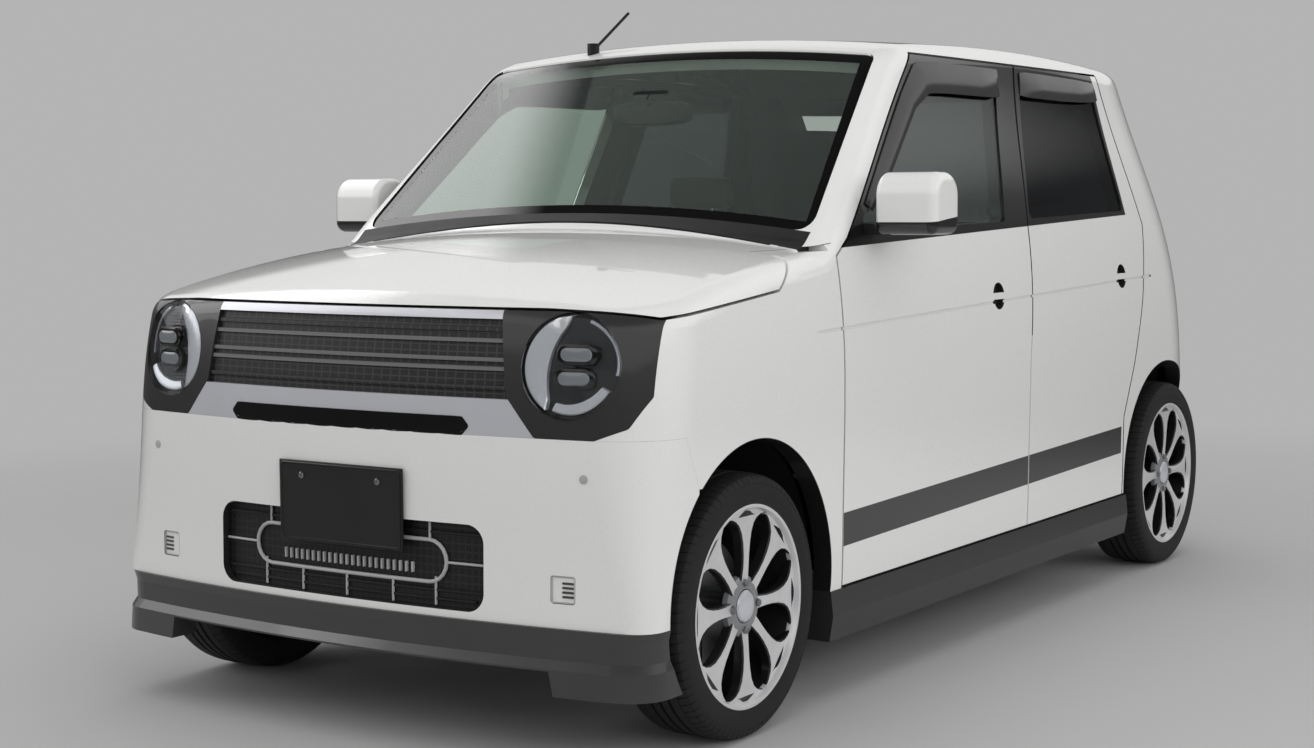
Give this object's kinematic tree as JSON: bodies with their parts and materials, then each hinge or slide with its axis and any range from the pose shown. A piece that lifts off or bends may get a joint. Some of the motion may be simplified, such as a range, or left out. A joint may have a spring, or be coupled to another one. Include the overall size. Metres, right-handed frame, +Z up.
{
  "type": "kei car, five-door hatchback, full size",
  "caption": "Small five-door hatchback with hinged doors, bonnet and tailgate, steering front wheels and free-rolling tyres.",
  "frame": {"origin": "on the ground under the middle of the car's length and width", "axes": "+X towards the car's left side, +Y towards its rear, +Z up; the front faces -Y"},
  "size_m": [1.784, 3.3948, 1.6389],
  "materials": {
    "painted": "pearl white paint, gloss",
    "clear_glass": "green-tinted safety glass",
    "dark_glass": "dark privacy glass",
    "tyre": "black rubber",
    "alloy": "machined alloy with dark grey pockets",
    "grey_plastic": "dark grey moulding",
    "bright_trim": "satin silver plating on a moulding",
    "black_plastic": "black moulding",
    "lamp": "black lamp housing under a clear cover",
    "cabin_trim": "soft black cabin trim",
    "seat_cloth": "dark woven cloth",
    "chassis": "black underbody coating",
    "engine": "cast metal"
  },
  "bodies": {
    "root": {"cowl_bulkhead": "black_plastic", "dashboard": "cabin_trim", "engine_block": "engine", "exhaust": "chassis", "floor_pan": "chassis", "front_bumper": "painted", "front_fenders": "painted", "front_garnish": "bright_trim", "front_lip": "grey_plastic", "front_seats": "seat_cloth", "front_subframe": "chassis", "fuel_tank": "black_plastic", "headlamps": "lamp", "lower_grille": "grey_plastic", "rear_axle_beam": "chassis", "rear_bumper": "painted", "rear_seat": "seat_cloth", "roof_antenna": "black_plastic", "roof_panel": "painted", "side_frame_left": "painted", "side_frame_right": "painted", "side_skirts": "grey_plastic", "tail_lamps": "lamp", "upper_grille": "grey_plastic", "wheel_liners": "black_plastic", "windscreen": "clear_glass"},
    "bonnet": {"bonnet": "painted"},
    "tailgate": {"tailgate": "painted", "tailgate_glass": "dark_glass"},
    "steering_wheel": {"steering_wheel": "cabin_trim"},
    "front_door_left": {"front_door_left": "painted", "front_door_glass_left": "clear_glass", "door_mirror_left": "painted"},
    "rear_door_left": {"rear_door_left": "painted", "rear_door_glass_left": "dark_glass"},
    "knuckle_left": {"knuckle_left": "chassis"},
    "wheel_front_left": {"tyre_front_left": "tyre", "rim_front_left": "alloy"},
    "wheel_rear_left": {"tyre_rear_left": "tyre", "rim_rear_left": "alloy"},
    "front_door_right": {"front_door_right": "painted", "front_door_glass_right": "clear_glass", "door_mirror_right": "painted"},
    "rear_door_right": {"rear_door_right": "painted", "rear_door_glass_right": "dark_glass"},
    "knuckle_right": {"knuckle_right": "chassis"},
    "wheel_front_right": {"tyre_front_right": "tyre", "rim_front_right": "alloy"},
    "wheel_rear_right": {"tyre_rear_right": "tyre", "rim_rear_right": "alloy"}
  },
  "joints": [
    {"name": "front_door_left_hinge", "type": "hinge", "parent": "root", "child": "front_door_left", "pos_m": [0.7375, -0.8335, 0.65], "axis": [0, 0, -1], "range_deg": [0, 65]},
    {"name": "rear_door_left_hinge", "type": "hinge", "parent": "root", "child": "rear_door_left", "pos_m": [0.7375, 0.2055, 0.65], "axis": [0, 0, -1], "range_deg": [0, 65]},
    {"name": "steer_left", "type": "hinge", "parent": "root", "child": "knuckle_left", "pos_m": [0.6125, -1.2375, 0.281], "axis": [0, 0, 1], "range_deg": [-33, 33]},
    {"name": "wheel_front_left_spin", "type": "hinge", "parent": "knuckle_left", "child": "wheel_front_left", "pos_m": [0.6525, -1.2375, 0.281], "axis": [1, 0, 0], "continuous": true},
    {"name": "wheel_rear_left_spin", "type": "hinge", "parent": "root", "child": "wheel_rear_left", "pos_m": [0.6525, 1.2825, 0.281], "axis": [1, 0, 0], "continuous": true},
    {"name": "front_door_right_hinge", "type": "hinge", "parent": "root", "child": "front_door_right", "pos_m": [-0.7375, -0.8335, 0.65], "axis": [0, 0, 1], "range_deg": [0, 65]},
    {"name": "rear_door_right_hinge", "type": "hinge", "parent": "root", "child": "rear_door_right", "pos_m": [-0.7375, 0.2055, 0.65], "axis": [0, 0, 1], "range_deg": [0, 65]},
    {"name": "steer_right", "type": "hinge", "parent": "root", "child": "knuckle_right", "pos_m": [-0.6125, -1.2375, 0.281], "axis": [0, 0, 1], "range_deg": [-33, 33]},
    {"name": "wheel_front_right_spin", "type": "hinge", "parent": "knuckle_right", "child": "wheel_front_right", "pos_m": [-0.6525, -1.2375, 0.281], "axis": [1, 0, 0], "continuous": true},
    {"name": "wheel_rear_right_spin", "type": "hinge", "parent": "root", "child": "wheel_rear_right", "pos_m": [-0.6525, 1.2825, 0.281], "axis": [1, 0, 0], "continuous": true},
    {"name": "bonnet_hinge", "type": "hinge", "parent": "root", "child": "bonnet", "pos_m": [0, -0.8665, 1.082], "axis": [-1, 0, 0], "range_deg": [0, 50]},
    {"name": "tailgate_hinge", "type": "hinge", "parent": "root", "child": "tailgate", "pos_m": [0, 1.3985, 1.52], "axis": [1, 0, 0], "range_deg": [0, 80]},
    {"name": "steering_wheel_turn", "type": "hinge", "parent": "root", "child": "steering_wheel", "pos_m": [-0.33, -0.4375, 0.93], "axis": [0, 0.8908, 0.4544], "range_deg": [-480, 480]}
  ],
  "couplings": [
    {"joint": "steer_right", "follows": "steer_left", "ratio": 1},
    {"joint": "steering_wheel_turn", "follows": "steer_left", "ratio": 14}
  ]
}
